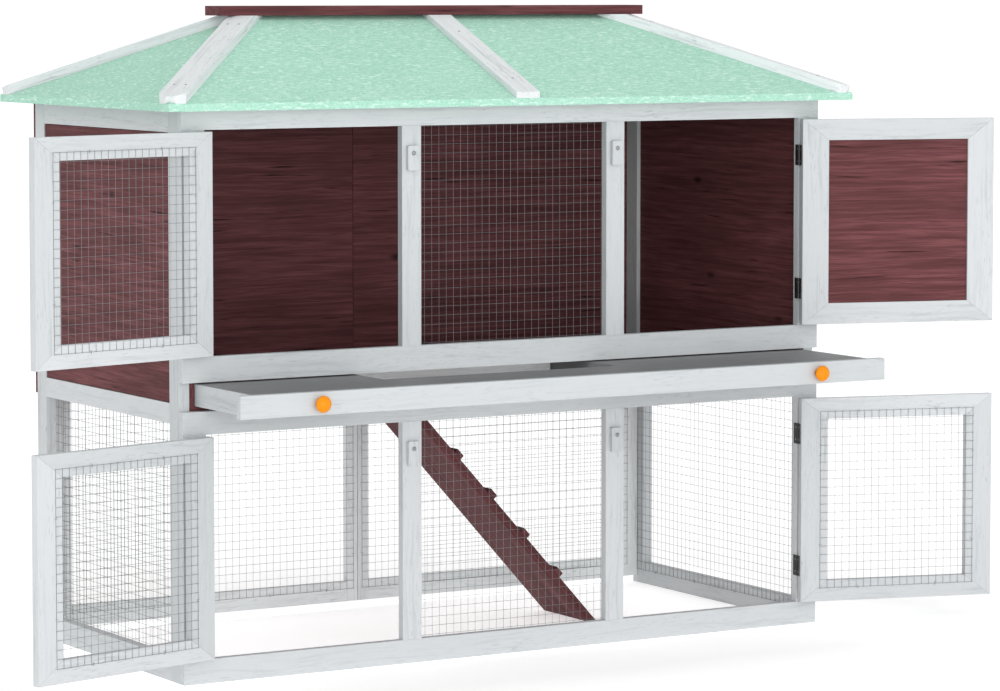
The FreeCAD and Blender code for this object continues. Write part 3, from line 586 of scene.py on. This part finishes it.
knob_low, knob_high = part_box("tray_knobs")
knobs = bmesh.new()
for x in (knob_low.x + KNOB_RADIUS, knob_high.x - KNOB_RADIUS):
    one = turned(KNOB_PROFILE, KNOB_STEPS)
    one.transform(Matrix.Translation((x, knob_high.y, (knob_low.z + knob_high.z) / 2))
                  @ Matrix.Rotation(math.pi / 2, 4, "X"))
    held = bpy.data.meshes.new("one_knob")
    one.to_mesh(held)
    one.free()
    knobs.from_mesh(held)
    bpy.data.meshes.remove(held)
knob_piece = piece_from(knobs, "tray_knobs_turned", moulded_orange_plastic())
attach(knob_piece, "tray")
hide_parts("tray_knobs")

# Doors: mitred whitewashed frames with welded mesh stapled inside, or one boarded panel.
# The stained panel at the upper right sits in the frame's grooves with its grain level. The right doors stand
# open by OPEN_TURN at rest.
OPEN_TURN = math.radians(164.5)
for door in ("door_lower_left", "door_lower_right", "door_upper_left", "door_upper_right"):
    for kind in ("_stiles", "_rails"):
        dress(door + kind, white_wood)
dress("door_upper_right_panel", red_wood,
      (math.cos(OPEN_TURN), math.sin(OPEN_TURN), 0))

# Hinges: pressed steel butt hinges with rolled knuckles, blackened, two to a door.
# One leaf lies on the end stile and one on the door's edge, and the fixed rounds hold the pin.
# Two flat-headed zinc-plated screws go through each leaf and lie flush in it.
HINGE_SCREW_PROFILE = [(0.0, -0.5), (1.2, -0.5), (2.1, 0.0), (2.0, 0.07), (0.0, 0.1)]
HINGE_SCREW_STEPS = 14
HINGE_SCREW_APART = 24 * MM


def blackened_steel():
    """Black oxide on pressed steel: satin near-black with faint brown-grey rubbing."""
    material, tree, shader = new_material("blackened_steel")
    place = add(tree, "ShaderNodeTexCoord").outputs["Object"]
    # rubbed patches of 6 mm
    rubbed = add(tree, "ShaderNodeTexNoise", {"Vector": place, "Scale": 1 / (6 * MM), "Detail": 4.0})
    colour = add(tree, "ShaderNodeMix", {"Factor": rubbed.outputs["Fac"], 6: linear("#2b2b2c"),
                                         7: linear("#454443")}, data_type="RGBA")
    tree.links.new(colour.outputs[2], shader.inputs["Base Color"])
    dull = add(tree, "ShaderNodeMapRange", {"Value": rubbed.outputs["Fac"], "To Min": 0.35, "To Max": 0.55})
    tree.links.new(dull.outputs[0], shader.inputs["Roughness"])
    shader.inputs["Metallic"].default_value = 0.7
    return material


def zinc_plated_steel():
    """Bright zinc plating on a turned screw: pale grey metal with slight clouding."""
    material, tree, shader = new_material("zinc_plated_steel")
    place = add(tree, "ShaderNodeTexCoord").outputs["Object"]
    # clouding of 2 mm
    cloud = add(tree, "ShaderNodeTexNoise", {"Vector": place, "Scale": 1 / (2 * MM), "Detail": 3.0})
    colour = add(tree, "ShaderNodeMix", {"Factor": cloud.outputs["Fac"], 6: linear("#8d9091"),
                                         7: linear("#a9acad")}, data_type="RGBA")
    tree.links.new(colour.outputs[2], shader.inputs["Base Color"])
    dull = add(tree, "ShaderNodeMapRange", {"Value": cloud.outputs["Fac"], "To Min": 0.3, "To Max": 0.5})
    tree.links.new(dull.outputs[0], shader.inputs["Roughness"])
    shader.inputs["Metallic"].default_value = 0.9
    return material


hinge_steel = blackened_steel()
zinc = zinc_plated_steel()
for name in sorted(frame["nodes"]):
    if not name.endswith("hinge_leaves"):
        continue
    leaves = frame["nodes"][name]
    leaves.data.materials.clear()
    leaves.data.materials.append(hinge_steel)
    body = leaves["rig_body"]
    shape = cad_shape(name)
    leaf_spots = []
    for piece in islands(shape):
        found = dict.fromkeys(f for v in piece for f in v.link_faces)
        faces = sorted(found, key=lambda f: -f.calc_area())[:2]
        if body == "hutch":
            bare = min(faces, key=lambda f: f.normal.x * f.calc_center_median().x)
        else:
            low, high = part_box(body + "_stiles")
            bare = max(faces, key=lambda f: f.normal.dot(f.calc_center_median() - (low + high) / 2))
        spot = bare.calc_center_median()
        leaf_spots += [(spot + Vector((0, 0, side * HINGE_SCREW_APART / 2)), bare.normal.copy(), (0, 0, 1))
                       for side in (-1, 1)]
    shape.free()
    hinge_screw = turned(HINGE_SCREW_PROFILE, HINGE_SCREW_STEPS, smooth=False)
    hinge_screws = scattered(name + "_screws", hinge_screw, zinc, leaf_spots)
    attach(hinge_screws, body)

# Turn buttons: small whitewashed wooden bars, each hung on one round-headed screw in a front post.
# Turned across, a button holds a door shut. The screws are zinc-plated steel with a slotted head.
SCREW_HEAD_RADIUS = 4.0
SCREW_HEAD_RISE = 2.2
SCREW_PROFILE = [(0.0, 21.0), (2.0, 19.0), (2.0, 0.0), (SCREW_HEAD_RADIUS, 0.0), (SCREW_HEAD_RADIUS, -0.5),
                 (3.5, -1.3), (2.4, -1.9), (1.1, -SCREW_HEAD_RISE), (0.0, -SCREW_HEAD_RISE)]
SCREW_STEPS = 20
SLOT_WIDTH = 1.0 * MM
SLOT_DEEP = 0.7 * MM
SLOT_BELOW = -1.25 * MM
CUT_EXACT = 0.001 * MM
for name in ("turn_button_lower_left", "turn_button_lower_right", "turn_button_upper_left",
             "turn_button_upper_right"):
    dress(name, white_wood)

screw = turned(SCREW_PROFILE, SCREW_STEPS)
for edge_of_slot in (-SLOT_WIDTH / 2, SLOT_WIDTH / 2):
    bmesh.ops.bisect_plane(screw, geom=screw.verts[:] + screw.edges[:] + screw.faces[:],
                           plane_co=(0, edge_of_slot, 0), plane_no=(0, 1, 0), dist=CUT_EXACT)
crown = [f for f in screw.faces if max(v.co.z for v in f.verts) < SLOT_BELOW
         and abs(f.calc_center_median().y) < SLOT_WIDTH / 2]
sunk = bmesh.ops.extrude_face_region(screw, geom=crown)["geom"]
sunk_points = [v for v in sunk if isinstance(v, bmesh.types.BMVert)]
bmesh.ops.translate(screw, verts=sunk_points, vec=(0, 0, SLOT_DEEP))
bmesh.ops.delete(screw, geom=crown, context="FACES")
screw_low, screw_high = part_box("turn_button_screws")
from_side = SCREW_HEAD_RADIUS * MM
head_seat = screw_low.y + SCREW_HEAD_RISE * MM
screw_spots = [((x, head_seat, z), (0, 1, 0), (1, 0, 0))
               for x in (screw_low.x + from_side, screw_high.x - from_side)
               for z in (screw_low.z + from_side, screw_high.z - from_side)]
screws = scattered("turn_button_screws_turned", screw, zinc, screw_spots)
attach(screws, "hutch")
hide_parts("turn_button_screws")

# Roof: six boards covered with mint green mineral felt that is glued down and folded over the eaves.
# The panels meet on the hips, the ridge and the middle of the long slopes.
ROOF_PANELS = ("roof_front_left", "roof_front_right", "roof_back_left", "roof_back_right", "roof_end_left",
               "roof_end_right")


def mint_mineral_felt():
    """Slate-chip felt: matte mint green with pale flecks and a fine grit."""
    material, tree, shader = new_material("mint_mineral_felt")
    grain = add(tree, "ShaderNodeAttribute", attribute_name="grain").outputs["Vector"]
    # chips are about 1 mm; they are drawn 3.6 mm wide so that they show, in flecks about 16 mm long
    flecks_at = add(tree, "ShaderNodeMapping", {"Vector": grain, "Rotation": (0, 0, math.radians(24)),
                                                "Scale": (1 / 16, 1 / 3.6, 1 / 3.6)})
    flecks = add(tree, "ShaderNodeTexNoise", {"Vector": flecks_at.outputs[0], "Scale": 1.0, "Detail": 4.0,
                                              "Roughness": 0.6})
    grit_at = add(tree, "ShaderNodeMapping", {"Vector": grain, "Scale": (1 / 4, 1 / 4, 1 / 4)})
    grit = add(tree, "ShaderNodeTexNoise", {"Vector": grit_at.outputs[0], "Scale": 1.0, "Detail": 2.0})
    cloud_at = add(tree, "ShaderNodeMapping", {"Vector": grain, "Scale": (1 / 140, 1 / 60, 1 / 60)})
    cloud = add(tree, "ShaderNodeTexNoise", {"Vector": cloud_at.outputs[0], "Scale": 1.0, "Detail": 3.0})
    mint = add(tree, "ShaderNodeMix", {"Factor": cloud.outputs["Fac"], 6: linear("#99c9b5"),
                                       7: linear("#aad4c2")}, data_type="RGBA")
    gritty_share = add(tree, "ShaderNodeMapRange", {"Value": grit.outputs["Fac"], "From Min": 0.4,
                                                    "From Max": 0.72, "To Max": 0.6})
    gritty = add(tree, "ShaderNodeMix", {"Factor": gritty_share.outputs[0], 6: mint.outputs[2],
                                         7: linear("#84b5a1")}, data_type="RGBA")
    fleck_share = add(tree, "ShaderNodeMapRange", {"Value": flecks.outputs["Fac"], "From Min": 0.53,
                                                   "From Max": 0.7, "To Max": 0.75})
    colour = add(tree, "ShaderNodeMix", {"Factor": fleck_share.outputs[0], 6: gritty.outputs[2],
                                         7: linear("#dcefe6")}, data_type="RGBA")
    tree.links.new(colour.outputs[2], shader.inputs["Base Color"])
    shader.inputs["Roughness"].default_value = 0.88
    bump = add(tree, "ShaderNodeBump", {"Height": grit.outputs["Fac"], "Strength": 0.35,
                                        "Distance": 0.8 * MM})
    tree.links.new(bump.outputs[0], shader.inputs["Normal"])
    return material


felt = mint_mineral_felt()
for name in ROOF_PANELS:
    dress(name, felt, (0, 1, 0) if "_end_" in name else (1, 0, 0))

# Cap boards and ridge board: pale whitewashed caps nailed through the felt over the hips and middle seams.
# The stained ridge board lies over their upper ends. The nails have small round heads: two at each end of a
# hip cap, one at each end of a middle cap.
NAIL_PROFILE = [(0.0, -4.0), (1.1, -4.0), (1.1, -0.3), (2.4, -0.3), (2.5, 0.2), (1.9, 0.6), (0.9, 0.8),
                (0.0, 0.85)]
NAIL_STEPS = 12
NAIL_FROM_LOW_END = 66 * MM
NAIL_FROM_HIGH_END = 104 * MM
NAIL_APART = 21 * MM
nail_spots = []
# The hip and middle caps take the whiter copy of the whitewash: painted light on their tops.
for name, offsets in (("roof_hip_caps", (-NAIL_APART / 2, NAIL_APART / 2)), ("roof_middle_caps", (0.0,))):
    for centre, (along, across, out), half in dress(name, painted_light_white_wood):
        uphill = along if along.z > 0 else -along
        outward = out if out.z > 0 else -out
        top = centre + outward * half[2]
        for spot in (top - uphill * (half[0] - NAIL_FROM_LOW_END),
                     top + uphill * (half[0] - NAIL_FROM_HIGH_END)):
            nail_spots += [(spot + across * offset, outward, across) for offset in offsets]
dress("ridge_board", red_wood, (1, 0, 0))
nail = turned(NAIL_PROFILE, NAIL_STEPS)
nails = scattered("roof_cap_nails", nail, zinc, nail_spots)
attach(nails, "hutch")

# Stage: a plain white floor, soft light from a pale sky and two large panels, and the photograph's camera.
# The floor glows a little, and more where the hutch shades it, so that it stays evenly white.
FLOOR_HALF = 60.0
FLOOR_DROP = 0.2 * MM
FLOOR_GLOW = 0.2
SHADED_GLOW = 0.5
SHADE_REACH = 0.3
floor_mesh = bpy.data.meshes.new("studio_floor")
floor_mesh.from_pydata([(x * FLOOR_HALF, y * FLOOR_HALF, -FLOOR_DROP)
                        for x, y in ((-1, -1), (1, -1), (1, 1), (-1, 1))], [], [(0, 1, 2, 3)])
floor_paint, floor_tree, floor_shader = new_material("studio_floor_white")
floor_shader.inputs["Base Color"].default_value = linear("#f7f7f7")
floor_shader.inputs["Roughness"].default_value = 0.95
floor_shader.inputs["Specular IOR Level"].default_value = 0.1
floor_shader.inputs["Emission Color"].default_value = linear("#ffffff")
base_low, base_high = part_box("side_rails")
place = add(floor_tree, "ShaderNodeTexCoord").outputs["Object"]
away = add(floor_tree, "ShaderNodeVectorMath", {0: place, 1: (base_low + base_high) / 2},
           operation="SUBTRACT")
sideways = add(floor_tree, "ShaderNodeVectorMath", {0: away.outputs[0]}, operation="ABSOLUTE")
beyond = add(floor_tree, "ShaderNodeVectorMath", {0: sideways.outputs[0], 1: (base_high - base_low) / 2},
             operation="SUBTRACT")
outside = add(floor_tree, "ShaderNodeVectorMath", {0: beyond.outputs[0], 1: (0, 0, 0)}, operation="MAXIMUM")
distance = add(floor_tree, "ShaderNodeVectorMath", {0: outside.outputs[0]}, operation="LENGTH")
floor_glow = add(floor_tree, "ShaderNodeMapRange",
                 {"Value": distance.outputs["Value"], "From Max": SHADE_REACH, "To Min": SHADED_GLOW,
                  "To Max": FLOOR_GLOW})
floor_tree.links.new(floor_glow.outputs[0], floor_shader.inputs["Emission Strength"])
floor_mesh.materials.append(floor_paint)
floor = bpy.data.objects.new("studio_floor", floor_mesh)
bpy.context.scene.collection.objects.link(floor)

sky = bpy.data.worlds.new("pale_sky")
sky.use_nodes = True
sky_tree = sky.node_tree
# a little brighter along the horizon than overhead
HORIZON_GLOW = 1.02
OVERHEAD_GLOW = 1.0
LOW_SKY = 0.1
HIGH_SKY = 0.8
toward = add(sky_tree, "ShaderNodeTexCoord").outputs["Generated"]
height = add(sky_tree, "ShaderNodeSeparateXYZ", {"Vector": toward}).outputs["Z"]
glow = add(sky_tree, "ShaderNodeMapRange", {"Value": height, "From Min": LOW_SKY, "From Max": HIGH_SKY,
                                            "To Min": HORIZON_GLOW, "To Max": OVERHEAD_GLOW})
sky_tree.nodes["Background"].inputs["Color"].default_value = linear("#ffffff")
sky_tree.links.new(glow.outputs[0], sky_tree.nodes["Background"].inputs["Strength"])
bpy.context.scene.world = sky

# each panel's place and size in m, and its power in W
PANELS = {"key_panel": ((-4.6, -4.6, 3.4), 3.5, 34.0), "low_panel": ((-1.8, -6.6, 1.0), 3.0, 170.0)}
PANELS_AIM = Vector((0, 0.3, 0.6))
for lamp_name, (place, size, power) in PANELS.items():
    panel = bpy.data.lights.new(lamp_name, "AREA")
    panel.size = size
    panel.energy = power
    lamp = bpy.data.objects.new(lamp_name, panel)
    lamp.location = place
    lamp.rotation_mode = "QUATERNION"
    lamp.rotation_quaternion = (PANELS_AIM - Vector(place)).to_track_quat("-Z", "Y")
    bpy.context.scene.collection.objects.link(lamp)

CAMERA_PLACE = (-3.7308, -6.2266, 1.2456)
CAMERA_YAW = 0.5365
CAMERA_PITCH = -0.0711
CAMERA_LENS = 140.2
CAMERA_SHIFT = -0.08
CAMERA_SENSOR = 36.0
CAMERA_REACH = 200.0
lens = bpy.data.cameras.new("photo_camera")
lens.lens = CAMERA_LENS
lens.sensor_width = CAMERA_SENSOR
lens.shift_y = CAMERA_SHIFT
lens.clip_end = CAMERA_REACH
camera = bpy.data.objects.new("photo_camera", lens)
camera.location = CAMERA_PLACE
camera.rotation_euler = (math.pi / 2 + CAMERA_PITCH, 0.0, -CAMERA_YAW)
bpy.context.scene.collection.objects.link(camera)
bpy.context.scene.camera = camera
bpy.context.scene.view_settings.view_transform = "Standard"
